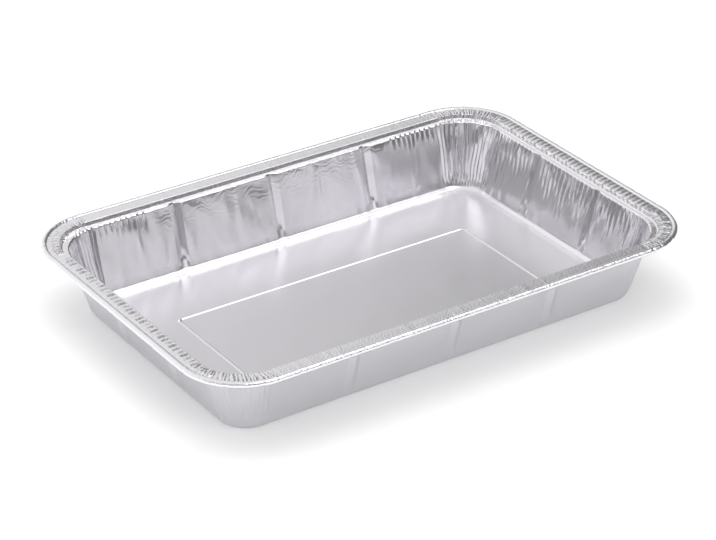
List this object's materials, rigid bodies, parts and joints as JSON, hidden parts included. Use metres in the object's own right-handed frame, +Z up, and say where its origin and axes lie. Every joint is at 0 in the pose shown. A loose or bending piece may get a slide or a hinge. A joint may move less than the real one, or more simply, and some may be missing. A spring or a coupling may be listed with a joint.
{
  "type": "foil drip pan",
  "caption": "Shallow rectangular foil tray with pleated corners, ribbed leaning walls, a stepped flange and a rolled rim, set out to catch drips.",
  "frame": {"origin": "middle of the underside, on the surface that the pan stands on", "axes": "+X along the long sides, +Y along the short sides, +Z up out of the open top"},
  "size_m": [0.34, 0.23, 0.047],
  "materials": {
    "foil": "bright rolled aluminium foil, finely creased by pressing"
  },
  "bodies": {
    "root": {"foil_drip_pan": "foil"}
  },
  "joints": []
}
